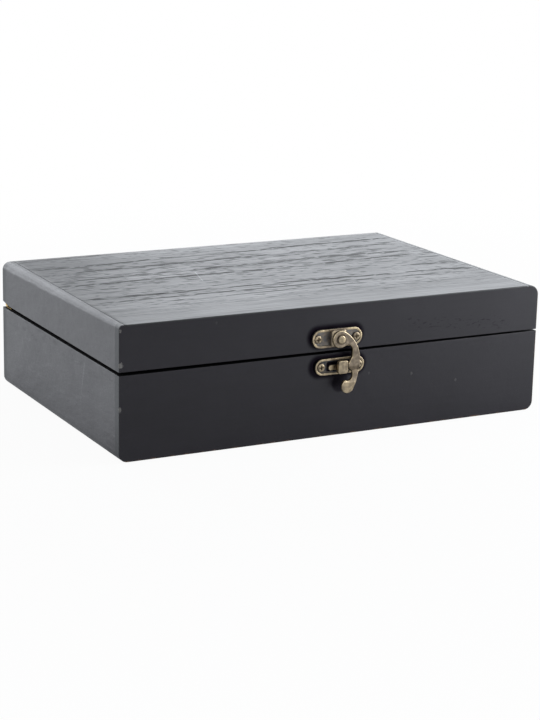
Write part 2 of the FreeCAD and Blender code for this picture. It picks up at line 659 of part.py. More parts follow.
# Hinge: two leaves on one pin, the low leaf flat and the other turned with the lid's back rim
low_leaf = hinge_leaf("hinge_base_leaf", True, "0", "(knuckle_count + 1) / 2", "base_hinge_screw_count")
low_screws = hinge_screws("hinge_base_screws", True, "base_hinge_screw_count")
for piece in (low_leaf, low_screws):
    piece.setExpression("Placement.Base.y", cells(PIN_Y))
    piece.setExpression("Placement.Base.z", cells(PIN_Z))
seat_on_pin(hinge_leaf("hinge_lid_leaf", False, "1", "(knuckle_count - 1) / 2", "lid_hinge_screw_count"),
            "Placement")
seat_on_pin(hinge_screws("hinge_lid_screws", False, "lid_hinge_screw_count"), "Placement")

pin = doc.addObject("Part::Cylinder", "hinge_pin")
pin.Label = "hinge_pin"
pin.Placement.Rotation = FreeCAD.Rotation(FreeCAD.Vector(0, 1, 0), 90)
pin.setExpression("Radius", cells("pin_radius"))
pin.setExpression("Height", cells(f"2 * {HINGE_X}"))
pin.setExpression("Placement.Base.x", cells(f"-{HINGE_X}"))
pin.setExpression("Placement.Base.y", cells(PIN_Y))
pin.setExpression("Placement.Base.z", cells(PIN_Z))


def rimmed_plate(name, x, z, length, height, screws):
    """A plate with round ends, a sunk field, a raised rim and two screw holes."""
    body = new_body(name)
    pad(body, "XZ_Plane", HALF_DEPTH, obround(x, z, length, height), "plate_thickness")
    rim = new_sketch(body, "XZ_Plane", PLATE_FACE)
    outline(rim, obround(x, z, length, height))
    outline(rim, obround(x, z, f"({length} - 2 * plate_rim_width)", f"({height} - 2 * plate_rim_width)"))
    shape_from(body, rim, "plate_rim_height")
    ease(body, "plate_rim_ease", on_front(PLATE_FRONT))
    bore(body, "XZ_Plane", PLATE_FACE, screws, PLATE_SCREW_HOLE, "plate_thickness")
    return body


def plate_screws(name, places):
    """Two round-headed screws with cross slots through a plate."""
    body = new_body(name)
    x, z = places[0]
    peg(body, "XZ_Plane", PLATE_FACE, places[0], "plate_screw_head_radius", "plate_screw_head_height")
    head = f"({PLATE_FACE} + plate_screw_head_height)"
    ease(body, "plate_screw_head_round", on_front(head))
    peg(body, "XZ_Plane", PLATE_FACE, places[0], "plate_screw_radius",
        "plate_thickness + plate_screw_depth", True)
    half_long, half_wide = "plate_screw_slot_length / 2", "plate_screw_slot_width / 2"
    for across, up in ((half_long, half_wide), (half_wide, half_long)):
        bar = rectangle(f"{x} - {across}", f"{z} - {up}", f"{x} + {across}", f"{z} + {up}")
        pocket(body, "XZ_Plane", head, bar, "plate_screw_slot_depth")
    repeat(body, [], f"{places[1][0]} - ({x})", "2")


# Latch plate on the lid, with a boss for the rivet
plate = rimmed_plate("latch_plate", "latch_shift", LATCH_Z, "latch_plate_length", "latch_plate_height",
                     LATCH_SCREWS)
pad(plate, "XZ_Plane", HALF_DEPTH, rounded("latch_shift", LATCH_Z, "boss_width", "boss_height", "boss_round"),
    "boss_rise")
ease(plate, "boss_bevel", on_front(BOSS_FRONT), "Chamfer")
bore(plate, "XZ_Plane", BOSS_FRONT, [("latch_shift", LATCH_Z)], "rivet_radius + pivot_clearance", "boss_rise")
plate_screws("latch_plate_screws", LATCH_SCREWS)

# Catch plate on the base: a tongue in a cut-out carries the head that the hook's spur meets
plate = rimmed_plate("catch_plate", "catch_shift", CATCH_Z, "catch_plate_length", "catch_plate_height",
                     CATCH_SCREWS)
window = rounded("catch_shift", CATCH_Z, "window_length", "window_height", "window_round")
pocket(plate, "XZ_Plane", PLATE_FACE, window, "plate_thickness")
TONGUE_LEFT = "(catch_shift - window_length / 2 + tongue_end_gap)"
TONGUE_RIGHT = "(catch_shift + window_length / 2 + tongue_height / 4)"
tongue = obround(f"({TONGUE_LEFT} + {TONGUE_RIGHT}) / 2", f"({CATCH_Z} - tongue_drop)",
                 f"({TONGUE_RIGHT} - {TONGUE_LEFT})", "tongue_height")
pad(plate, "XZ_Plane", HALF_DEPTH, tongue, "tongue_thickness")
neck = rectangle(f"{HEAD_X} - neck_width / 2", f"{HEAD_Z} - neck_width / 2",
                 f"{HEAD_X} + neck_width / 2", f"{HEAD_Z} + neck_width / 2")
pad(plate, "XZ_Plane", HALF_DEPTH, neck, f"{HEAD_FRONT} - {HALF_DEPTH} - catch_head_thickness / 2")
head = rounded(HEAD_X, HEAD_Z, "catch_head_width", "catch_head_height", "catch_head_round")
pad(plate, "XZ_Plane", HEAD_BACK, head, "catch_head_thickness")
ease(plate, "catch_head_ease", on_front(HEAD_FRONT))
plate_screws("catch_plate_screws", CATCH_SCREWS)

# Rivet that the hook turns on
rivet = new_body("latch_rivet")
peg(rivet, "XZ_Plane", RIVET_FACE, ("latch_shift", LATCH_Z), "rivet_head_radius", "rivet_head_height")
ease(rivet, "rivet_head_round", on_front(f"{RIVET_FACE} + rivet_head_height"))
peg(rivet, "XZ_Plane", HALF_DEPTH, ("latch_shift", LATCH_Z), "rivet_radius", f"{RIVET_FACE} - {HALF_DEPTH}")


# Swing hook: an eye, a bent shank with a spur, and an arm that steps out to a thumb tab.
# Its bends run into each other without a corner, except at the spur and where the bowl meets the tab.
SHANK_REACH = "(shoulder_radius - (shoulder_radius - eye_radius) * cos(shoulder_angle * 1deg))"
SHANK_DROP = "((shoulder_radius - eye_radius) * sin(shoulder_angle * 1deg))"
ARM_SINE = f"((arm_drop - {SHANK_DROP}) / arm_radius)"
ARM_COSINE = f"sqrt(1 - {ARM_SINE} ^ 2)"
ARM_REACH = f"({SHANK_REACH} - arm_radius * (1 - {ARM_COSINE}))"
ARM_STRAIGHT = f"((tab_drop - arm_drop + tab_radius * {ARM_SINE}) / {ARM_COSINE})"
TAB_REACH = f"({ARM_REACH} - {ARM_STRAIGHT} * {ARM_SINE} - tab_radius * {ARM_COSINE})"
BOWL_TO_TAB = "(tab_drop - bowl_drop)"
LIP_DROP = f"((bowl_radius ^ 2 - tab_radius ^ 2 + {BOWL_TO_TAB} ^ 2) / (2 * {BOWL_TO_TAB}))"
LIP_REACH = f"sqrt(bowl_radius ^ 2 - {LIP_DROP} ^ 2)"
SPUR_REACH = f"({HEAD_X} + catch_head_width / 2 + stop_gap - latch_shift)"
SPUR_DROP = f"(bowl_drop - sqrt(bowl_radius ^ 2 - ({SPUR_REACH} - {TAB_REACH}) ^ 2))"
THROAT_REACH = "((eye_radius + throat_radius) * cos(throat_angle * 1deg) + throat_radius)"
THROAT_DROP = "((eye_radius + throat_radius) * sin(throat_angle * 1deg))"


def from_rivet(right, down):
    return f"latch_shift + {right}", f"{LATCH_Z} - {down}"


EYE_SHOULDER = from_rivet("eye_radius * cos(shoulder_angle * 1deg)",
                          "-eye_radius * sin(shoulder_angle * 1deg)")
EYE_THROAT = from_rivet("eye_radius * cos(throat_angle * 1deg)", "eye_radius * sin(throat_angle * 1deg)")
ARM_END = from_rivet(f"{TAB_REACH} + tab_radius * {ARM_COSINE}", f"(tab_drop + tab_radius * {ARM_SINE})")
hook = new_body("latch_hook")
pad(hook, "XZ_Plane", HOOK_BACK, [
    (*EYE_SHOULDER, "eye_radius", "out"),
    (*from_rivet("-eye_radius", "0"), "eye_radius", "out"),
    (*EYE_THROAT, "throat_radius", "in"),
    from_rivet(THROAT_REACH, THROAT_DROP),
    from_rivet(THROAT_REACH, "spur_root_drop"),
    from_rivet(SPUR_REACH, f"({SPUR_DROP} - spur_tip)"),
    (*from_rivet(SPUR_REACH, SPUR_DROP), "bowl_radius", "in"),
    (*from_rivet(f"{TAB_REACH} + bowl_radius", "bowl_drop"), "bowl_radius", "in"),
    (*from_rivet(f"{TAB_REACH} - {LIP_REACH}", f"(bowl_drop + {LIP_DROP})"), "tab_radius", "out"),
    (*from_rivet(TAB_REACH, "(tab_drop + tab_radius)"), "tab_radius", "out"),
    ARM_END,
    (*from_rivet(ARM_REACH, "arm_drop"), "arm_radius", "out"),
    (*from_rivet(SHANK_REACH, SHANK_DROP), "shoulder_radius", "out"),
], f"{TAB_FRONT} - {HOOK_BACK}")


def hook_edge(edge):
    """Whether an edge bounds the hook's front, but for the creases of the step."""
    box = edge.BoundBox
    if near(box.ZLength, 0) or box.YMax > value(f"-{HOOK_FRONT}") + 1e-4:
        return False
    on_ramp = box.YLength > 1e-3
    return on_ramp or near(box.YMax, value(f"-{HOOK_FRONT}")) or near(box.YMax, value(f"-{TAB_FRONT}"))


HOOK_TOP = f"{LATCH_Z} + eye_radius + hook_thickness"
HOOK_FOOT = f"{LATCH_Z} - tab_drop - tab_radius - hook_thickness"
pocket(hook, "YZ_Plane", HALF_LENGTH, [
    (f"-{TAB_FRONT} - hook_thickness", JOGGLE_BOTTOM),
    (f"-{TAB_FRONT}", JOGGLE_BOTTOM),
    (f"-{HOOK_FRONT}", JOGGLE_TOP),
    (f"-{HOOK_FRONT}", HOOK_TOP),
    (f"-{TAB_FRONT} - hook_thickness", HOOK_TOP),
], "box_length")
pocket(hook, "YZ_Plane", HALF_LENGTH, [
    (f"-{TAB_BACK}", HOOK_FOOT),
    (f"-{HOOK_BACK} + hook_thickness", HOOK_FOOT),
    (f"-{HOOK_BACK} + hook_thickness", JOGGLE_TOP),
    (f"-{HOOK_BACK}", JOGGLE_TOP),
    (f"-{TAB_BACK}", JOGGLE_BOTTOM),
], "box_length")
ease(hook, "hook_ease", hook_edge)
bore(hook, "XZ_Plane", HOOK_FRONT, [("latch_shift", LATCH_Z)], "rivet_radius + pivot_clearance",
     "hook_thickness")

NODES = [
    "base_front_board", "base_back_board", "base_left_board", "base_right_board", "base_bottom_panel",
    "hinge_base_leaf", "hinge_pin", "hinge_base_screws", "catch_plate", "catch_plate_screws",
    "lid_front_board", "lid_back_board", "lid_left_board", "lid_right_board", "lid_top_board",
    "lid_top_veneer", "hinge_lid_leaf", "hinge_lid_screws", "latch_plate", "latch_plate_screws",
    "latch_rivet", "latch_hook",
]

doc.recompute()
for thing in doc.Objects:
    if "Invalid" in thing.State or "Error" in thing.State:
        raise ValueError(f"{thing.Name} could not be built")

os.makedirs("parts", exist_ok=True)
for name in NODES:
    shape = doc.getObject(name).Shape
    if shape.isNull() or not shape.isValid() or not shape.Solids:
        raise ValueError(f"{name} has no sound shape")
    shape.exportStep(f"parts/{name}.step")
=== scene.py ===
# %% [markdown]
# # A flat black wooden box with a swing-hook latch
# The box is black satin paint over wood, with a grained sheet on its lid and an aged brass hook latch.
# Its boards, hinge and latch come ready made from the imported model, so this lesson only dresses them:
# a camera, soft light, procedural finishes, and a real relief for the grain on the lid.

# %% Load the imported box
import math

import bpy
import numpy as np
from mathutils import Matrix, Vector


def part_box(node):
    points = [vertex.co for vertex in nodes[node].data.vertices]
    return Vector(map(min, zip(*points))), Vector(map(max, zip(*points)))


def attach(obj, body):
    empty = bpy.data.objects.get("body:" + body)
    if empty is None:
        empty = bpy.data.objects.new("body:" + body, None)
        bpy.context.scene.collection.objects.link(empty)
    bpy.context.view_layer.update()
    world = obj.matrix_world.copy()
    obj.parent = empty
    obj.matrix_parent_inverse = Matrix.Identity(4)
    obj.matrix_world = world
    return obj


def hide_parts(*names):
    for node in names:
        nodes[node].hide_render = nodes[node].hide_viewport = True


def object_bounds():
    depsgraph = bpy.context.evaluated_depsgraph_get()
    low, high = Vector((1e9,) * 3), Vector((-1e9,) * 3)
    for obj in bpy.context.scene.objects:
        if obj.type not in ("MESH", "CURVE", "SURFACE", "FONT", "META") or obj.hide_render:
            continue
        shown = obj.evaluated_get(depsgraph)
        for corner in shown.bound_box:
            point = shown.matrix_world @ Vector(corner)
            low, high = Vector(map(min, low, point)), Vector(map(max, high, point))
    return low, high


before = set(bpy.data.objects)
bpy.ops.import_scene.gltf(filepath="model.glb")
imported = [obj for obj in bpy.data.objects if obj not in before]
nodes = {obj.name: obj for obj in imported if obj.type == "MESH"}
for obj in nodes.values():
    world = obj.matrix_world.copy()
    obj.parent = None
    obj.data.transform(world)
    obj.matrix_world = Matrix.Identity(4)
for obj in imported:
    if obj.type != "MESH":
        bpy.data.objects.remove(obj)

MM = 1000.0  # millimetres in a metre
cad_box = [list(corner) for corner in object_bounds()]
print("box in metres", cad_box)

# %% [markdown]
# ## Camera
# The camera stands to the left of the front and a little above the lid. Its angles were fitted to the
# corners of the box in the photograph. It could be aimed with a Track To constraint, but that can't roll,
# so the camera's own axes are worked out and set as one matrix.

# %% Camera
AZIMUTH, ELEVATION, ROLL = (math.radians(angle) for angle in (-27.866, 14.509, 1.232))
TARGET = Vector((0.00303, 0, 0.01976))
DISTANCE = 1.04396
LENS = 96.43

back = Vector((math.sin(AZIMUTH) * math.cos(ELEVATION), -math.cos(AZIMUTH) * math.cos(ELEVATION),
               math.sin(ELEVATION)))
level = Vector((0, 0, 1)).cross(back).normalized()
upright = back.cross(level)
right = level * math.cos(ROLL) + upright * math.sin(ROLL)
up = upright * math.cos(ROLL) - level * math.sin(ROLL)

camera = bpy.data.objects.new("camera", bpy.data.cameras.new("camera"))
camera.data.lens = LENS
turned = Matrix((right, up, back)).transposed().to_4x4()
camera.matrix_world = Matrix.Translation(TARGET + back * DISTANCE) @ turned
bpy.context.scene.collection.objects.link(camera)
bpy.context.scene.camera = camera
bpy.context.scene.view_settings.view_transform = "Standard"
print("camera at", tuple(round(place, 3) for place in camera.matrix_world.translation))

# %% [markdown]
# ## Small helpers for node trees
# Every finish below is a node tree. The nodes could be drawn by hand in the editor, but a script can be read
# and run again. One helper adds a node and fills its inputs, and a few more name the sums that come up again
# and again, so that a finish reads as a short list of steps.


# %% Node helpers
def fill(tree, node, inputs):
    """Give a node's inputs numbers, or links from other nodes' outputs."""
    for name, given in dict(inputs).items():
        if isinstance(given, bpy.types.NodeSocket):
            tree.links.new(given, node.inputs[name])
        else:
            node.inputs[name].default_value = given
    return node


def put(tree, kind, inputs=(), **settings):
    """Add a node with its settings and inputs."""
    node = tree.nodes.new("ShaderNode" + kind)
    for name, setting in settings.items():
        setattr(node, name, setting)
    return fill(tree, node, inputs)


def calc(tree, operation, *terms):
    """One step of arithmetic on values."""
    return put(tree, "Math", dict(enumerate(terms)), operation=operation).outputs[0]


def vector(tree, operation, *terms, output=0):
    """One step of arithmetic on vectors."""
    return put(tree, "VectorMath", dict(enumerate(terms)), operation=operation).outputs[output]


def ramp(tree, value, low, high, to_low=0.0, to_high=1.0):
    """A smooth step: to_low where the value is under low, to_high where it is over high."""
    limits = {"Value": value, "From Min": low, "From Max": high, "To Min": to_low, "To Max": to_high}
    return put(tree, "MapRange", limits, interpolation_type="SMOOTHSTEP").outputs[0]


def tint(tree, share, first, second):
    """A colour between two colours, the second where the share is 1."""
    return put(tree, "Mix", {0: share, 6: first, 7: second}, data_type="RGBA").outputs[2]


# %% Place and noise helpers
def own_place(tree):
    """The surface's own place in metres, and its three parts."""
    place = put(tree, "TexCoord").outputs["Object"]
    return place, put(tree, "SeparateXYZ", {0: place}).outputs


def facing(tree, axis):
    """How squarely the surface faces along an axis, from 0 on its sides to 1."""
    normal = put(tree, "TexCoord").outputs["Normal"]
    return calc(tree, "ABSOLUTE", put(tree, "SeparateXYZ", {0: normal}).outputs[axis])


def noise(tree, place, scale, detail=3.0, stretch=(1, 1, 1)):
    """Soft noise, whose blobs are drawn out along an axis with a small stretch."""
    drawn = vector(tree, "MULTIPLY", place, stretch)
    return put(tree, "TexNoise", {"Vector": drawn, "Scale": scale, "Detail": detail}).outputs[0]


# %% Group and material helpers
def new_group(name, inputs, outputs):
    """A shader node group with named sockets, and its two end nodes."""
    group = bpy.data.node_groups.new(name, "ShaderNodeTree")
    for title, kind, given in inputs:
        socket = group.interface.new_socket(title, in_out="INPUT", socket_type="NodeSocket" + kind)
        socket.default_value = given
    for title, kind in outputs:
        group.interface.new_socket(title, in_out="OUTPUT", socket_type="NodeSocket" + kind)
    return group, group.nodes.new("NodeGroupInput").outputs, group.nodes.new("NodeGroupOutput")


def use_group(tree, group, inputs=()):
    """Place a node group in a tree."""
    node = tree.nodes.new("ShaderNodeGroup")
    node.node_tree = group
    return fill(tree, node, inputs).outputs


def new_material(name):
    """A new material, its tree, its main shader and a bump whose height is in millimetres."""
    material = bpy.data.materials.new(name)
    material.use_nodes = True
    tree = material.node_tree
    tree.nodes.clear()
    bump = put(tree, "Bump", {"Distance": 1 / MM})
    shader = put(tree, "BsdfPrincipled", {"Normal": bump.outputs[0]})
    put(tree, "OutputMaterial", {"Surface": shader.outputs[0]})
    return material, tree, shader, bump


# %% [markdown]
# ## Studio
# The photograph has a white ground all round. The floor is a plain pale sheet that keeps the box's shadow.
# Stronger lamps could turn it white, but they would wash out the black. So it is lifted to white for camera
# rays, and behind the box for glossy and see-through rays too, less so close to the box, which shades it.
# Satin black shows mostly what it mirrors: the lid mirrors soft panels behind the box, the left side mirrors
# the white floor there, and the front mirrors the floor before it, which the box itself shades. The light is
# slightly cool, as daylight is.

# %% Floor
FLOOR_SIZE = 8.0
FLOOR_DROP = 0.0003

corners = [(x * FLOOR_SIZE, y * FLOOR_SIZE, -FLOOR_DROP) for x, y in ((-1, -1), (1, -1), (1, 1), (-1, 1))]
floor_mesh = bpy.data.meshes.new("floor")
floor_mesh.from_pydata(corners, [], [(0, 1, 2, 3)])
floor = bpy.data.objects.new("floor", floor_mesh)
bpy.context.scene.collection.objects.link(floor)
print("floor", 2 * FLOOR_SIZE, "m wide")

# %% Floor finish
FLOOR_GREY = (0.86, 0.86, 0.86, 1)
SHADOW_FROM, SHADOW_TO, SHADOW_LIFT = 0.15, 0.7, 0.95
SHADE_REACH, NEAR_LIFT = 0.045, 0.45
BEHIND_FROM, BEHIND_TO = -0.12, 0.0
DAYLIGHT = (0.92, 0.955, 1.0)
WHITE = (1, 1, 1, 1)

floor_finish = bpy.data.materials.new("pale_floor")
floor_finish.use_nodes = True
tree = floor_finish.node_tree
tree.nodes.clear()
path = put(tree, "LightPath").outputs
mirrored = calc(tree, "MAXIMUM", path["Is Glossy Ray"], path["Is Transmission Ray"])
place, parts = own_place(tree)
far_off = vector(tree, "LENGTH", place, output="Value")
clear_white = ramp(tree, far_off, SHADOW_FROM, SHADOW_TO, SHADOW_LIFT, 1.0)
seen = calc(tree, "MULTIPLY", path["Is Camera Ray"], clear_white)
beside_x = calc(tree, "SUBTRACT", calc(tree, "ABSOLUTE", parts[0]), cad_box[1][0])
beside_y = calc(tree, "SUBTRACT", calc(tree, "ABSOLUTE", parts[1]), cad_box[1][1])
open_ground = ramp(tree, calc(tree, "MAXIMUM", beside_x, beside_y), 0.0, SHADE_REACH, NEAR_LIFT, 1.0)
behind = calc(tree, "MULTIPLY", open_ground, ramp(tree, parts[1], BEHIND_FROM, BEHIND_TO))
lifted = calc(tree, "MAXIMUM", seen, calc(tree, "MULTIPLY", mirrored, behind))
matt = put(tree, "BsdfDiffuse", {"Color": FLOOR_GREY})
hue = tint(tree, path["Is Camera Ray"], (*DAYLIGHT, 1), WHITE)
white = put(tree, "Emission", {"Color": hue, "Strength": 1.0})
mixed = put(tree, "MixShader", {0: lifted, 1: matt.outputs[0], 2: white.outputs[0]})
put(tree, "OutputMaterial", {"Surface": mixed.outputs[0]})
floor_mesh.materials.append(floor_finish)
print("floor finish", len(tree.nodes), "nodes")

# %% World
WORLD_LIGHT = 0.26

world = bpy.data.worlds.new("studio")
bpy.context.scene.world = world
world.use_nodes = True
tree = world.node_tree
tree.nodes.clear()
path = put(tree, "LightPath").outputs
looked_at = calc(tree, "MAXIMUM", path["Is Camera Ray"],
                 calc(tree, "MAXIMUM", path["Is Glossy Ray"], path["Is Transmission Ray"]))
strength = ramp(tree, looked_at, 0.0, 1.0, WORLD_LIGHT, 1.0)
shown = tint(tree, path["Is Camera Ray"], (*DAYLIGHT, 1), WHITE)
sky = put(tree, "Background", {"Color": shown, "Strength": strength})
put(tree, "OutputWorld", {"Surface": sky.outputs[0]})
print("world lights the box at", WORLD_LIGHT)


# %% Soft panels
AIM = Vector((0, 0, 0.03))


def soft_panel(name, place, width, height, brightness):
    """An area lamp turned to the box. Its power is brightness times pi times its area."""
    lamp = bpy.data.lights.new(name, "AREA")
    lamp.shape = "RECTANGLE"
    lamp.size, lamp.size_y = width, height
    lamp.energy = brightness * math.pi * width * height
    lamp.color = DAYLIGHT
    panel = bpy.data.objects.new(name, lamp)
    panel.visible_camera = False
    panel.location = place
    panel.rotation_euler = (AIM - Vector(place)).to_track_quat("-Z", "Y").to_euler()
    bpy.context.scene.collection.objects.link(panel)
    print(name, round(lamp.energy, 2), "W")


soft_panel("panel_back_right", (0.905, 1.2, 0.50), 0.96, 0.8, 1.84)
soft_panel("panel_back_left", (-0.18, 1.05, 0.53), 0.85, 0.43, 2.3)
soft_panel("strip_back_left", (-0.55, 1.05, 0.15), 0.8, 0.25, 2.2)
soft_panel("panel_above", (0.0, 0.0, 1.6), 1.6, 1.2, 0.5)
soft_panel("panel_left", (-0.9, 0.05, 0.32), 0.4, 0.35, 3.5)
soft_panel("panel_front_right", (0.48, -0.26, 0.22), 0.4, 0.36, 7.2)

# %% [markdown]
# ## Black satin paint
# Sprayed and sanded paint is never quite even: its sheen drifts over a few centimetres, the wood's grain
# shows through as faint streaks, and a fine peel breaks up the light. A plain black shader would look like
# plastic. All of this lives in one group, which every painted board uses with the streaks turned along its
# own grain.

# %% Paint film group
DEEP_BLACK, WARM_BLACK = (0.0028, 0.0012, 0.0042, 1), (0.0048, 0.0028, 0.0068, 1)

film, given, result = new_group(
    "paint_film",
    [("Place", "Vector", (0, 0, 0)), ("Stretch", "Vector", (1, 1, 1)), ("Unevenness", "Float", 1.0)],
    [("Color", "Color"), ("Roughness", "Float"), ("Height", "Float")])
place = given["Place"]
drift = noise(film, place, 28.0, 2.0)
streak = noise(film, place, 650.0, 3.0, given["Stretch"])
peel = noise(film, place, 1300.0, 2.0)
mottle = calc(film, "MULTIPLY", noise(film, place, 140.0, 6.0, (1, 0.4, 1)), given["Unevenness"])
specks = ramp(film, noise(film, place, 900.0, 1.0), 0.70, 0.76)
shade = calc(film, "MULTIPLY_ADD", streak, 0.6, calc(film, "MULTIPLY", drift, 0.5))
colour = tint(film, ramp(film, shade, 0.3, 0.8), DEEP_BLACK, WARM_BLACK)
film.links.new(colour, result.inputs["Color"])
sheen = calc(film, "MULTIPLY_ADD", streak, 0.06, ramp(film, drift, 0.3, 0.7, 0.28, 0.33))
film.links.new(calc(film, "MULTIPLY_ADD", specks, 0.2, sheen), result.inputs["Roughness"])
relief = calc(film, "MULTIPLY_ADD", streak, 0.010, calc(film, "MULTIPLY", peel, 0.008))
relief = calc(film, "MULTIPLY_ADD", mottle, 0.3, relief)
pits = calc(film, "MULTIPLY", specks, given["Unevenness"])
film.links.new(calc(film, "MULTIPLY_ADD", pits, -0.06, relief), result.inputs["Height"])
print("paint film group", len(film.nodes), "nodes")

# %% [markdown]
# ## Where the box is worn, and what is inside
# Paint goes first along the outer edges. On a plain box the nearest edge can be worked out from the place
# alone: an upright edge is near where both sides are near. A second group tells the bare stained inside and
# the dull faces of the seam from the satin outside. Both are masks, so every board can share them. The
# seam's faces are dull black, and their darkness is partly painted shade in the narrow gap.

# %% Measures of the box
HALF_X, HALF_Y, TOP = cad_box[1][0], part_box("base_front_board")[0].y * -1, cad_box[1][2]
INNER_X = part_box("base_left_board")[1].x * -1
INNER_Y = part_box("base_front_board")[1].y * -1
BASE_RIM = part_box("base_front_board")[1].z
LID_BACK_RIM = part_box("hinge_lid_leaf")[1].z
print("walls", round((HALF_X - INNER_X) * MM, 1), "mm, base rim at", round(BASE_RIM * MM, 1), "mm")

# %% Edge wear group
wear, given, result = new_group("edge_wear", [], [("Upright", "Float"), ("Foot", "Float")])
place, (x, y, z) = own_place(wear)
from_x = calc(wear, "SUBTRACT", HALF_X, calc(wear, "ABSOLUTE", x))
from_y = calc(wear, "SUBTRACT", HALF_Y, calc(wear, "ABSOLUTE", y))
nicks = noise(wear, place, 150.0, 5.0)
away = calc(wear, "MAXIMUM", from_x, from_y)
crossed = ramp(wear, calc(wear, "MULTIPLY", x, y), -0.008, -0.007, 1.0, 0.0)
upright_wear = calc(wear, "MULTIPLY", ramp(wear, away, 0.0002, 0.0007, 1.0, 0.0),
                    ramp(wear, nicks, 0.4, 0.65, 0.0, 0.7))
wear.links.new(calc(wear, "MULTIPLY", upright_wear, crossed), result.inputs["Upright"])
low_down = ramp(wear, z, 0.0002, 0.0009, 1.0, 0.0)
wear.links.new(calc(wear, "MULTIPLY", low_down, ramp(wear, nicks, 0.48, 0.62)), result.inputs["Foot"])
print("edge wear group", len(wear.nodes), "nodes")

# %% Inside group
inside, given, result = new_group("inside", [], [("Hollow", "Float"), ("Seam", "Float")])
place, (x, y, z) = own_place(inside)
in_x = ramp(inside, calc(inside, "ABSOLUTE", x), INNER_X + 0.0003, INNER_X + 0.0006, 1.0, 0.0)
in_y = ramp(inside, calc(inside, "ABSOLUTE", y), INNER_Y + 0.0003, INNER_Y + 0.0006, 1.0, 0.0)
in_z = calc(inside, "MULTIPLY", ramp(inside, z, 0.002, 0.0035),
            ramp(inside, z, TOP - 0.0047, TOP - 0.004, 1.0, 0.0))
hollow = calc(inside, "MULTIPLY", calc(inside, "MULTIPLY", in_x, in_y), in_z)
inside.links.new(hollow, result.inputs["Hollow"])
seam_height = calc(inside, "MULTIPLY", ramp(inside, z, BASE_RIM - 0.0006, BASE_RIM - 0.0002),
                   ramp(inside, z, LID_BACK_RIM + 0.0004, LID_BACK_RIM + 0.0008, 1.0, 0.0))
seam = calc(inside, "MULTIPLY", seam_height, ramp(inside, facing(inside, 2), 0.35, 0.7))
inside.links.new(seam, result.inputs["Seam"])
print("inside group", len(inside.nodes), "nodes")

# %% [markdown]
# A fleck is a small spot where the paint is gone. Flecks could be painted on a map, but a ball about a point
# on the box, with its edge pushed in and out by noise, needs no picture and stays sharp close up. They are
# placed where the photograph shows them: three on the front left corner, and faint ones on the front.

# %% Fleck group
fleck, given, result = new_group(
    "paint_fleck", [("Centre", "Vector", (0, 0, 0)), ("Radius", "Float", 0.001)], [("Mask", "Float")])
place = own_place(fleck)[0]
apart = vector(fleck, "MULTIPLY", vector(fleck, "SUBTRACT", place, given["Centre"]), (1, 1, 0.7))
ragged = noise(fleck, place, 1100.0, 4.0)
reach = calc(fleck, "MULTIPLY", given["Radius"], calc(fleck, "MULTIPLY_ADD", ragged, 2.6, -0.4))
gone = calc(fleck, "DIVIDE", vector(fleck, "LENGTH", apart, output="Value"), reach)
fleck.links.new(ramp(fleck, gone, 0.8, 1.1, 1.0, 0.0), result.inputs["Mask"])

FLECKS = [
    ((-0.1194, -0.08, 0.0652), 0.0007, 0.3), ((-0.1191, -0.08, 0.0483), 0.0011, 0.4),
    ((-0.1195, -0.08, 0.0266), 0.0010, 0.3), ((0.0432, -0.08, 0.0279), 0.0007, 0.09),
    ((0.0704, -0.08, 0.0216), 0.0007, 0.07), ((-0.0689, -0.08, 0.0646), 0.0006, 0.035),
    ((0.0177, -0.08, 0.0308), 0.0006, 0.05),
]
print(len(FLECKS), "flecks")

# %% [markdown]
# A stroke is a thin straight mark. Its mask comes from the distance to the nearest point of a line, and that
# point is found by how far along the line a place lies, held between the two ends. The left side of the box
# has one faint scuff and the lid has one pale scratch. Wide strokes serve too: one on the lid's front marks
# where pores of the wood show through the paint, and three paint shade close round the latch, where the
# paint is made dull and dark. This painted shade stays when the hook swings.

# %% Stroke group
stroke, given, result = new_group(
    "stroke", [("Start", "Vector", (0, 0, 0)), ("Run", "Vector", (0, 0, 1)), ("Width", "Float", 0.001)],
    [("Mask", "Float")])
from_start = vector(stroke, "SUBTRACT", own_place(stroke)[0], given["Start"])
length = vector(stroke, "DOT_PRODUCT", given["Run"], given["Run"], output="Value")
reached = vector(stroke, "DOT_PRODUCT", from_start, given["Run"], output="Value")
held = put(stroke, "Clamp", {"Value": calc(stroke, "DIVIDE", reached, length)}).outputs[0]
nearest = put(stroke, "VectorMath", {0: given["Run"], "Scale": held}, operation="SCALE").outputs[0]
away = calc(stroke, "DIVIDE", vector(stroke, "DISTANCE", from_start, nearest, output="Value"), given["Width"])
stroke.links.new(ramp(stroke, away, 0.3, 1.0, 1.0, 0.0), result.inputs["Mask"])

SCUFF = (-0.12, -0.037, 0.0395), (-0.12, -0.0309, 0.0164), 0.0007
OPEN_GRAIN = (0.041, -0.08, 0.054), (0.097, -0.08, 0.05), 0.005
SCRATCH = (-0.0344, 0.0171, TOP), (-0.0402, -0.005, TOP), 0.0004
LATCH_SHADE_STROKES = [
    ((-0.0125, -0.08, 0.0520), (0.0078, -0.08, 0.0520), 0.0090, 0.9),
    ((-0.0115, -0.08, 0.0367), (0.0095, -0.08, 0.0367), 0.0090, 0.9),
    ((0.0035, -0.08, 0.0435), (0.0005, -0.08, 0.0268), 0.0062, 0.65),
]


def mark(tree, start, end, width):
    """Mask of one stroke from a start to an end."""
    run = Vector(end) - Vector(start)
    return use_group(tree, stroke, {"Start": start, "Run": run, "Width": width})["Mask"]


print(3 + len(LATCH_SHADE_STROKES), "strokes")
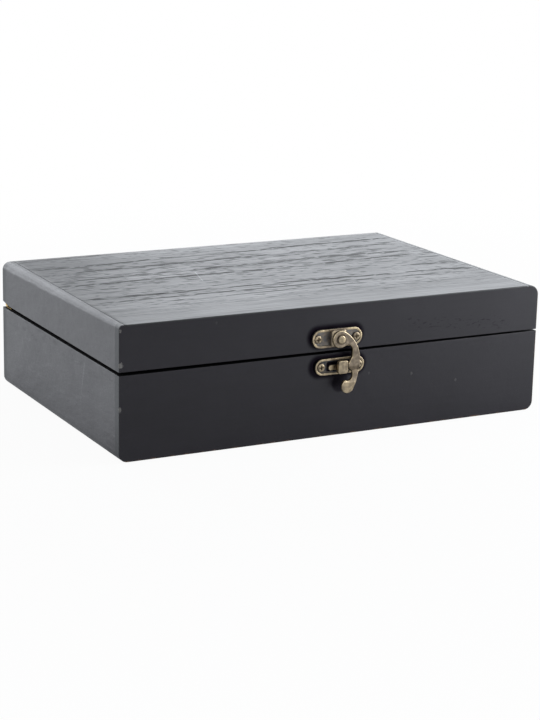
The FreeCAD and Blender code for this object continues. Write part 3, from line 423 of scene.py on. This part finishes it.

# %% [markdown]
# The boards take all of this together. The front, back and top boards run along the box and the two sides run
# upright, so there are two paints, which differ in the way of the grain, in unevenness and in gloss. A nearly
# black metal mirrors next to nothing, so Metallic stands in for paint that has no gloss. It also paints
# shade:
# the seam's faces and the paint close round the latch mirror almost nothing, so they look dark.

# %% Painted boards
END_GRAIN, BARE_WOOD = (0.03, 0.031, 0.034, 1), (0.17, 0.095, 0.05, 1)
PALE_FLECK, RUBBED = (0.42, 0.40, 0.37, 1), (0.07, 0.07, 0.073, 1)
STAIN_DARK, STAIN_LIGHT = (0.010, 0.0098, 0.0095, 1), (0.034, 0.033, 0.032, 1)
SEAM_SHADE_BLACK, SEAM_SHADE_NO_GLOSS = (0.005, 0.005, 0.0055, 1), 0.9


def painted(name, turn, stretch, end_grain, uneven, dullness, ior):
    """Black satin paint, worn at the outer edges and dull inside. The film's streaks run along its own X,
    which is turned to the board's grain. End grain drinks the paint and is a little paler. A higher IOR
    mirrors more."""
    material, tree, shader, bump = new_material(name)
    place, (x, y, z) = own_place(tree)
    along = put(tree, "Mapping", {"Vector": place, "Rotation": turn}).outputs[0]
    calmer = ramp(tree, z, BASE_RIM - 0.001, BASE_RIM + 0.001, uneven, uneven * 0.8)
    coat = use_group(tree, film, {"Place": along, "Stretch": stretch, "Unevenness": calmer})
    worn = use_group(tree, wear)
    within = use_group(tree, inside)
    rubbed_off = calc(tree, "MAXIMUM", worn["Upright"], worn["Foot"])
    flecked = 0.0
    for centre, radius, share in FLECKS:
        spot = use_group(tree, fleck, {"Centre": centre, "Radius": radius})["Mask"]
        flecked = calc(tree, "MAXIMUM", flecked, calc(tree, "MULTIPLY", spot, share))
    ends = ramp(tree, calc(tree, "ABSOLUTE", x), HALF_X - 0.0003, HALF_X - 0.0001, 0.0, end_grain)
    colour = tint(tree, ends, coat["Color"], END_GRAIN)
    colour = tint(tree, rubbed_off, colour, BARE_WOOD)
    colour = tint(tree, flecked, colour, PALE_FLECK)
    scuff = calc(tree, "MULTIPLY", mark(tree, *SCUFF), ramp(tree, z, 0.02, 0.034, 0.25, 0.8))
    colour = tint(tree, scuff, colour, RUBBED)
    stained = tint(tree, noise(tree, along, 320.0, 4.0, stretch), STAIN_DARK, STAIN_LIGHT)
    colour = tint(tree, within["Hollow"], colour, stained)
    # The seam's faces turn dull black and lose their gloss, partly as painted shade in the gap between lid
    # and base.
    colour = tint(tree, within["Seam"], colour, SEAM_SHADE_BLACK)

    pores = ramp(tree, noise(tree, place, 1100.0, 2.0, (0.3, 1, 1)), 0.55, 0.7, 0.0, 0.4)
    grain = calc(tree, "MULTIPLY", mark(tree, *OPEN_GRAIN), pores)
    pits = ramp(tree, noise(tree, place, 420.0, 2.0, (1, 0.35, 1)), 0.50, 0.66, 0.0, uneven * 0.07)
    under_seam = calc(tree, "MULTIPLY", ramp(tree, z, BASE_RIM - 0.010, BASE_RIM - 0.005),
                      ramp(tree, z, BASE_RIM, BASE_RIM + 0.001, 1.0, 0.0))
    grain = calc(tree, "MAXIMUM", grain, calc(tree, "MULTIPLY", pits, under_seam))
    unpolished_and_shade = calc(tree, "MAXIMUM", grain, calc(tree, "MULTIPLY", within["Seam"], SEAM_SHADE_NO_GLOSS))
    # Three wide strokes round the latch make the paint there dark and glossless: painted shade of the latch.
    for start, end, width, share in LATCH_SHADE_STROKES:
        rim = ramp(tree, mark(tree, start, end, width), 0.15, 0.75, 0.0, share)
        unpolished_and_shade = calc(tree, "MAXIMUM", unpolished_and_shade, rim)

    dull = calc(tree, "MAXIMUM", within["Hollow"], within["Seam"])
    rough = calc(tree, "MULTIPLY_ADD", dull, 0.35, calc(tree, "MULTIPLY_ADD", ends, 0.08, coat["Roughness"]))
    rough = calc(tree, "ADD", rough, dullness)
    rough = calc(tree, "MULTIPLY_ADD", calc(tree, "MAXIMUM", flecked, rubbed_off), 0.3, rough)
    fill(tree, shader, {"Base Color": colour, "Roughness": rough, "Metallic": unpolished_and_shade, "IOR": ior})
    fill(tree, bump, {"Height": calc(tree, "MULTIPLY_ADD", flecked, -0.1, coat["Height"])})
    print(name, len(tree.nodes), "nodes")
    return material


paint_along = painted("paint_along", (0, 0, 0), (0.06, 1, 1), 1.0, 0.4, 0.0, 1.5)
paint_upright = painted("paint_upright", (0, math.pi / 2, 0), (0.35, 1, 1), 0.0, 2.6, 0.1, 1.87)


# %% Dress the boards
def dress(names, material):
    """Give CAD nodes a finish in place of the one they came with."""
    for name in names:
        nodes[name].data.materials.clear()
        nodes[name].data.materials.append(material)
    print(material.name, "on", len(names), "nodes")


dress(["base_front_board", "base_back_board", "base_bottom_panel", "lid_front_board", "lid_back_board",
       "lid_top_board"], paint_along)
dress(["base_left_board", "base_right_board", "lid_left_board", "lid_right_board"], paint_upright)

# %% [markdown]
# ## Grained sheet on the lid
# The lid's top is an open-grained sheet: rows of pores lie along the growth rings as long, broken dark
# cracks with clusters of short dashes beside them. A bump map alone looks flat from low down, so the sheet
# is made anew as a relief: a fine grid whose height is worked out from the ring lines, with the same
# numbers kept on the points as an attribute that the finish reads. Each ring is a line of places along the
# lid in millimetres, with a strength and a spread.


# %% Random lattice
LATTICE_X, LATTICE_Y, LATTICE_SHIFT = 256, 1024, 1000


def lattice_noise(x, y, cell_x, cell_y, seed):
    """Random values on a grid of cells, blended smoothly between the corners of the cell of (x, y)."""
    u, v = x / cell_x + LATTICE_SHIFT, y / cell_y + LATTICE_SHIFT
    i, j = np.floor(u).astype(int), np.floor(v).astype(int)
    table = np.random.default_rng(seed).random((LATTICE_X, LATTICE_Y))
    s, t = u - i, v - j
    s, t = s * s * (3 - 2 * s), t * t * (3 - 2 * t)
    corner = [[table[(i + a) % LATTICE_X, (j + b) % LATTICE_Y] for b in (0, 1)] for a in (0, 1)]
    near_row = corner[0][0] * (1 - t) + corner[0][1] * t
    far_row = corner[1][0] * (1 - t) + corner[1][1] * t
    return near_row * (1 - s) + far_row * s


def step(value, low, high):
    """0 under low, 1 over high, and a smooth rise between."""
    share = np.clip((value - low) / (high - low), 0, 1)
    return share * share * (3 - 2 * share)


# %% Grain relief
RINGS = [
    ([(-117, 74), (-60, 76.5)], 0.5, 1.5),
    ([(-115, 52), (-77, 52.5), (-17, 58), (24, 57.7), (58, 61.5), (114, 63)], 0.95, 1.8),
    ([(-116, 36), (-87, 39.7), (-33, 41), (15, 44), (70, 46), (106, 48.5)], 0.95, 2.2),
    ([(-117, 20.3), (-65, 21), (-18, 23.3), (15, 23.4), (43, 27.5), (106, 25.5)], 0.9, 3.2),
    ([(-116, 8), (-73, 9.2), (0, 9.2), (48, 12.3), (103, 16)], 1.0, 2.0),
    ([(-110, -11.5), (-80, -11.6)], 0.35, 1.5),
    ([(80, -10), (115, -12)], 0.9, 1.8),
    ([(-117, -24), (0, -24), (96, -26), (113, -30)], 1.0, 2.5),
    ([(-111, -33), (-59, -32.5), (25, -32.3), (68, -34), (104, -37.5)], 0.75, 3.5),
    ([(-80, -41.5), (40, -39.5)], 0.55, 2.5),
    ([(-117, -52), (114, -50)], 0.25, 2.0),
]


def pore_depth(x, y):
    """How open the grain is, from 0 to 1, at x and y in millimetres. Each ring is a wavy line along X: on it
    the pores join to a thin broken crack, a fainter crack runs beside it, and short dashes thin out over the
    ring's spread. The depth at a point is the largest of these."""
    wave = 0.9 * (lattice_noise(x, y, 45, 60, 1) - 0.5) + 0.8 * (lattice_noise(x, y, 9, 7, 2) - 0.5)
    dashes = lattice_noise(x, y, 4.0, 1.4, 3)
    clusters = step(lattice_noise(x, y, 24, 6, 6), 0.35, 0.65)
    crowd = 0.14 * np.exp(-((y - 25) / 30) ** 2)
    depth = 0.4 * step(lattice_noise(x, y, 5.0, 1.0, 4) + crowd, 0.80, 0.92) * step(y, -74, -45)
    for number, (line, strength, spread) in enumerate(RINGS):
        places, heights = np.array(line).T
        there = step(x, places[0] - 1, places[0] + 8) * step(-x, -places[-1] - 1, -places[-1] + 8)
        away = y - np.interp(x, places, heights) - wave
        lane = y * 0 + number
        broken = step(lattice_noise(x, lane, 13, 1, 5), 0.1, 0.3)
        broken = broken * step(lattice_noise(x, lane, 3.5, 1, 7), 0.1, 0.35)
        crack = np.exp(-(away / 0.6) ** 2) * broken
        second = 0.45 * np.exp(-((away + 1.9) / 0.45) ** 2) * (1 - broken)
        beside = 0.8 * np.exp(-(away / spread) ** 2) * step(dashes, 0.64, 0.78) * clusters
        depth = np.maximum(depth, strength * there * np.maximum(np.maximum(crack, second), beside))
    return np.clip(depth, 0, 1)


print(len(RINGS), "ring lines")

# %% [markdown]
# The sheet's left edge slants with the side board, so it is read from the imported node. The grid runs from
# that edge to the right one, over a section that turns down at the front and the back. Its first and last
# columns drop to the underside as flat walls, so that the smooth shading of the top stops at the edge.

# %% Grained sheet
EASE = 0.49
PORE_MM = 0.19
COLUMNS, ROWS = 150, 620
PLAIN_ROWS = 6

veneer = nodes["lid_top_veneer"].data
spots = np.empty(len(veneer.vertices) * 3)
veneer.vertices.foreach_get("co", spots)
spots = spots.reshape(-1, 3) * MM
low, high = spots.min(axis=0), spots.max(axis=0)
left_edge = spots[spots[:, 0] < low[0] + 4]
left_edge = left_edge[np.argsort(left_edge[:, 1])]

bend = np.linspace(0, math.pi / 2, 5)
turn_y, turn_z = EASE * (1 - np.sin(bend)), EASE * (1 - np.cos(bend))
run = np.linspace(low[1] + EASE, high[1] - EASE, ROWS)[1:-1]
half_y = np.concatenate([[low[1]], low[1] + turn_y[::-1]])
half_z = np.concatenate([[low[2]], high[2] - turn_z[::-1]])
section_y = np.concatenate([half_y, run, -half_y[::-1]])
section_z = np.concatenate([half_z, np.full(len(run), high[2]), half_z[::-1]])

across = np.concatenate([[0], np.linspace(0, 1, COLUMNS), [1]])
share, gy = np.meshgrid(across, section_y, indexing="ij")
left_x = np.interp(gy, left_edge[:, 1], left_edge[:, 0])
gx = left_x + share * (high[0] - left_x)
pores = pore_depth(gx, gy)
pores[:, :PLAIN_ROWS], pores[:, -PLAIN_ROWS:] = 0, 0
gz = section_z[None, :] - PORE_MM * pores
gz[0], gz[-1] = low[2], low[2]
print("grid", gx.shape, "left edge", left_edge[0, 0].round(2), "to", left_edge[-1, 0].round(2))

# %% Mesh of the sheet
columns, rows = gx.shape
index = np.arange(columns * rows).reshape(columns, rows)
quads = np.stack([index[:-1, :-1], index[1:, :-1], index[1:, 1:], index[:-1, 1:]], axis=-1).reshape(-1, 4)
under = np.concatenate([index[:, 0], index[-1, 1:], index[-2::-1, -1], index[0, -2:0:-1]])[::-1]
sheet_mesh = bpy.data.meshes.new("grained_sheet")
points = np.stack([gx, gy, gz], axis=-1).reshape(-1, 3) / MM
sheet_mesh.from_pydata(points.tolist(), [], quads.tolist() + [under.tolist()])
sheet_mesh.attributes.new("pore", "FLOAT", "POINT").data.foreach_set("value", pores.ravel())
smooth = np.ones((columns - 1, rows - 1), bool)
smooth[0], smooth[-1] = False, False
sheet_mesh.polygons.foreach_set("use_smooth", np.append(smooth.ravel(), False))
grained_sheet = bpy.data.objects.new("grained_sheet", sheet_mesh)
bpy.context.scene.collection.objects.link(grained_sheet)
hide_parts("lid_top_veneer")
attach(grained_sheet, "lid")
print("grained sheet", len(quads), "quads, pores cover", round(float((pores > 0.4).mean()), 3))

# %% [markdown]
# The pores alone would leave the wood between them too plain. So the finish darkens and dulls the pores,
# lets the fibres between them drift in tone, and ripples the surface a little, which from low down shows as
# fine flecks of light. The ripple is calmer toward the front.

# %% Grained finish
FIBRE_DARK, FIBRE_LIGHT = (0.0055, 0.0057, 0.0066, 1), (0.012, 0.0123, 0.0138, 1)
PORE_BLACK, SCRATCH_GREY = (0.002, 0.002, 0.0022, 1), (0.40, 0.41, 0.42, 1)

grained, tree, shader, bump = new_material("grained_black")
place, parts = own_place(tree)
pore = put(tree, "Attribute", attribute_name="pore").outputs["Fac"]
fibre = noise(tree, place, 900.0, 4.0, (0.035, 1, 1))
ripple = noise(tree, place, 450.0, 3.0, (0.5, 0.8, 1))
broad = noise(tree, place, 60.0, 3.0, (0.15, 1, 1))
shade = calc(tree, "MULTIPLY_ADD", fibre, 0.7, calc(tree, "MULTIPLY", broad, 0.3))
scratch = calc(tree, "MULTIPLY", mark(tree, *SCRATCH), ramp(tree, fibre, 0.4, 0.6, 0.12, 0.32))
colour = tint(tree, ramp(tree, shade, 0.35, 0.65), FIBRE_DARK, FIBRE_LIGHT)
colour = tint(tree, pore, colour, PORE_BLACK)
colour = tint(tree, scratch, colour, SCRATCH_GREY)
rough = calc(tree, "MULTIPLY_ADD", pore, 0.4, ramp(tree, shade, 0.3, 0.7, 0.46, 0.34))
height = calc(tree, "MULTIPLY_ADD", fibre, 0.008, calc(tree, "MULTIPLY", pore, -0.06))
swell = ramp(tree, parts[1], -0.075, -0.04, 0.10, 0.15)
height = calc(tree, "MULTIPLY_ADD", ripple, swell, height)
fill(tree, shader, {"Base Color": colour, "Roughness": rough})
fill(tree, bump, {"Height": height})
sheet_mesh.materials.append(grained)
print("grained finish", len(tree.nodes), "nodes")

# %% [markdown]
# ## Aged brass
# The latch is brass that was darkened and then rubbed, so it is bright on its rims and edges and nearly
# black in its hollows. One group mixes the three tones from a worn share and a sunk share. Each piece says
# in its own way what is raised: a plate by how far a point stands off the box, a hook by its edges. A search
# for edges in the mesh could do it too, but the places are known, and a mask of the place is smooth.

# %% Patina group
DARK_BRASS, AGED_BRASS, RUBBED_BRASS = (0.175, 0.142, 0.108, 1), (0.30, 0.24, 0.175, 1), (0.60, 0.48, 0.30, 1)
COLD_GRIME, PLATE_GRIME = (0.046, 0.049, 0.056, 1), (0.145, 0.146, 0.150, 1)
HOOK_GRIME_AND_SHADE, SCREW_GRIME = (0.06, 0.042, 0.026, 1), (0.035, 0.018, 0.008, 1)

patina, given, result = new_group(
    "patina", [("Worn", "Float", 0.0), ("Sunk", "Float", 0.0), ("Grime", "Color", COLD_GRIME)],
    [("Color", "Color"), ("Roughness", "Float"), ("Height", "Float")])
place = own_place(patina)[0]
cloud = noise(patina, place, 420.0, 4.0)
grit = noise(patina, place, 2600.0, 2.0)
aged = tint(patina, ramp(patina, cloud, 0.35, 0.65), DARK_BRASS, AGED_BRASS)
bright = calc(patina, "MULTIPLY", given["Worn"], ramp(patina, cloud, 0.35, 0.65, 0.35, 1.0))
aged = tint(patina, bright, aged, RUBBED_BRASS)
dark = calc(patina, "MULTIPLY", given["Sunk"], ramp(patina, cloud, 0.3, 0.6, 1.0, 0.75))
patina.links.new(tint(patina, dark, aged, given["Grime"]), result.inputs["Color"])
rough = calc(patina, "MULTIPLY_ADD", bright, -0.12, ramp(patina, cloud, 0.3, 0.7, 0.36, 0.48))
patina.links.new(rough, result.inputs["Roughness"])
relief = calc(patina, "MULTIPLY_ADD", grit, 0.012, calc(patina, "MULTIPLY", cloud, 0.02))
patina.links.new(relief, result.inputs["Height"])
print("patina group", len(patina.nodes), "nodes")


# %% Measures of the latch
def middle(name):
    """Middle of a node's box."""
    return (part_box(name)[0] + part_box(name)[1]) / 2


RIVET, PLATE, CATCH = middle("latch_rivet"), middle("latch_plate"), middle("catch_plate")
print("rivet at", tuple(round(place * MM, 1) for place in RIVET), "mm")


def stand_off(tree, y):
    """How far a point stands in front of the box's front face, in millimetres."""
    return calc(tree, "MULTIPLY", calc(tree, "SUBTRACT", calc(tree, "MULTIPLY", y, -1.0), HALF_Y), MM)


def beside(tree, part, centre):
    """Distance from a centre along one axis, in millimetres."""
    return calc(tree, "MULTIPLY", calc(tree, "ABSOLUTE", calc(tree, "SUBTRACT", part, centre)), MM)


def soft_edges(tree):
    """1 where the surface turns from the front to the side, as on a rounded edge."""
    square = facing(tree, 1)
    return calc(tree, "MULTIPLY", ramp(tree, square, 0.1, 0.4), ramp(tree, square, 0.86, 0.985, 1.0, 0.0))


# %% Masks of the plates
def plate_masks(tree):
    """The latch plate's rim is rubbed, less at the foot. Its field is patchy grey, and its boss left aged."""
    place, (x, y, z) = own_place(tree)
    off = stand_off(tree, y)
    clear = ramp(tree, beside(tree, x, RIVET.x), 4.6, 6.5)
    upper = ramp(tree, calc(tree, "SUBTRACT", z, PLATE.z), -0.0045, -0.0025, 0.2, 1.0)
    rim = calc(tree, "MULTIPLY", calc(tree, "MULTIPLY", ramp(tree, off, 1.2, 1.48), clear), upper)
    edges = calc(tree, "MULTIPLY", soft_edges(tree), calc(tree, "MULTIPLY", upper, 0.35))
    patches = ramp(tree, noise(tree, place, 520.0, 3.0), 0.42, 0.58, 0.45, 1.0)
    field = calc(tree, "MULTIPLY", ramp(tree, off, 0.95, 1.35, 1.0, 0.0), patches)
    boss = calc(tree, "MULTIPLY", ramp(tree, facing(tree, 1), 0.2, 0.6, 0.35, 0.0), ramp(tree, off, 1.3, 1.6))
    return calc(tree, "MAXIMUM", rim, edges), calc(tree, "MAXIMUM", field, boss)


def catch_masks(tree):
    """The catch plate's rim, its tongue and the edges of its head are rubbed, and its field is dark."""
    x, y, z = own_place(tree)[1]
    off = stand_off(tree, y)
    rim = calc(tree, "MULTIPLY", ramp(tree, off, 1.2, 1.48), ramp(tree, off, 1.6, 1.7, 0.8, 0.0))
    tongue = calc(tree, "MULTIPLY", ramp(tree, beside(tree, z, CATCH.z - 0.0006), 1.2, 1.45, 1.0, 0.0),
                  calc(tree, "MULTIPLY", ramp(tree, beside(tree, x, CATCH.x), 7.2, 7.6, 1.0, 0.0),
                       ramp(tree, off, 1.6, 1.7, 0.9, 0.0)))
    edges = calc(tree, "MULTIPLY", calc(tree, "MAXIMUM", soft_edges(tree), 0.45), ramp(tree, off, 3.0, 3.5))
    field = calc(tree, "MULTIPLY", ramp(tree, off, 0.95, 1.35, 1.0, 0.0), calc(tree, "SUBTRACT", 1.0, tongue))
    return calc(tree, "MAXIMUM", rim, calc(tree, "MAXIMUM", tongue, edges)), field


# %% Masks of the hook, screws and rivet
def hook_masks(tree):
    """The hook's edges and tab are rubbed, its walls and rivet ring dark, its bend painted shade."""
    place, parts = own_place(tree)
    flat = vector(tree, "MULTIPLY", vector(tree, "SUBTRACT", place, RIVET), (MM, 0, MM))
    from_rivet = vector(tree, "LENGTH", flat, output="Value")
    ring = calc(tree, "MULTIPLY", ramp(tree, from_rivet, 1.8, 2.0),
                ramp(tree, from_rivet, 2.5, 3.1, 1.0, 0.0))
    walls = ramp(tree, facing(tree, 1), 0.05, 0.3, 0.75, 0.0)
    drop = calc(tree, "MULTIPLY", calc(tree, "SUBTRACT", RIVET.z, parts[2]), MM)
    # The bend is painted dark as shade, so that it does not mirror the bright light above.
    bend = calc(tree, "MULTIPLY", ramp(tree, drop, 13.5, 15.0), ramp(tree, drop, 16.5, 21.0, 0.7, 0.0))
    dark = calc(tree, "MAXIMUM", calc(tree, "MULTIPLY", ring, 0.9), calc(tree, "MAXIMUM", walls, bend))
    tab = ramp(tree, drop, 20.0, 22.5, 0.0, 0.6)
    return calc(tree, "MAXIMUM", soft_edges(tree), tab), dark


def screw_masks(tree):
    """A screw's dome is lightly rubbed, and its slot is dark."""
    off = stand_off(tree, own_place(tree)[1][1])
    return ramp(tree, off, 1.5, 1.9, 0.0, 0.5), ramp(tree, off, 1.45, 1.75, 1.0, 0.0)


def rivet_masks(tree):
    """The rivet's face is rubbed all over, and its wall is dark."""
    square = facing(tree, 1)
    return ramp(tree, square, 0.5, 0.95, 0.1, 0.85), ramp(tree, square, 0.1, 0.5, 0.9, 0.0)


# %% Latch finishes
def brass(name, masks, grime=COLD_GRIME):
    """Aged brass whose worn and sunk shares come from a function of the tree."""
    material, tree, shader, bump = new_material(name)
    worn, sunk = masks(tree)
    metal = use_group(tree, patina, {"Worn": worn, "Sunk": sunk, "Grime": grime})
    fill(tree, shader, {"Base Color": metal["Color"], "Roughness": metal["Roughness"], "Metallic": 1.0})
    fill(tree, bump, {"Height": metal["Height"]})
    print(name, len(tree.nodes), "nodes")
    return material


dress(["latch_plate"], brass("plate_brass", plate_masks, PLATE_GRIME))
dress(["catch_plate"], brass("catch_brass", catch_masks))
dress(["latch_hook"], brass("hook_brass", hook_masks, HOOK_GRIME_AND_SHADE))
dress(["latch_plate_screws", "catch_plate_screws"], brass("screw_brass", screw_masks, SCREW_GRIME))
dress(["latch_rivet"], brass("rivet_brass", rivet_masks))

# %% [markdown]
# ## Hinge
# The long hinge at the back is plain rolled brass. Rolling leaves fine lines along its length. Anisotropic
# gloss could hint at them from afar, but here the lines themselves go into the colour, the gloss and a slight
# relief, so they also hold close up.

# %% Hinge finish
CLEAN_BRASS, DULL_BRASS, LINE_BRASS = (0.88, 0.60, 0.17, 1), (0.55, 0.36, 0.11, 1), (0.95, 0.74, 0.32, 1)

rolled, tree, shader, bump = new_material("rolled_brass")
place = own_place(tree)[0]
lines = noise(tree, place, 2200.0, 3.0, (0.02, 1, 1))
dull = noise(tree, place, 90.0, 3.0)
colour = tint(tree, ramp(tree, dull, 0.35, 0.7), CLEAN_BRASS, DULL_BRASS)
colour = tint(tree, calc(tree, "MULTIPLY", lines, 0.3), colour, LINE_BRASS)
rough = ramp(tree, lines, 0.3, 0.7, 0.24, 0.38)
fill(tree, shader, {"Base Color": colour, "Roughness": rough, "Metallic": 1.0})
fill(tree, bump, {"Height": calc(tree, "MULTIPLY", lines, 0.008)})
dress(["hinge_base_leaf", "hinge_lid_leaf", "hinge_pin", "hinge_base_screws", "hinge_lid_screws"], rolled)
print("hinge finish", len(tree.nodes), "nodes")
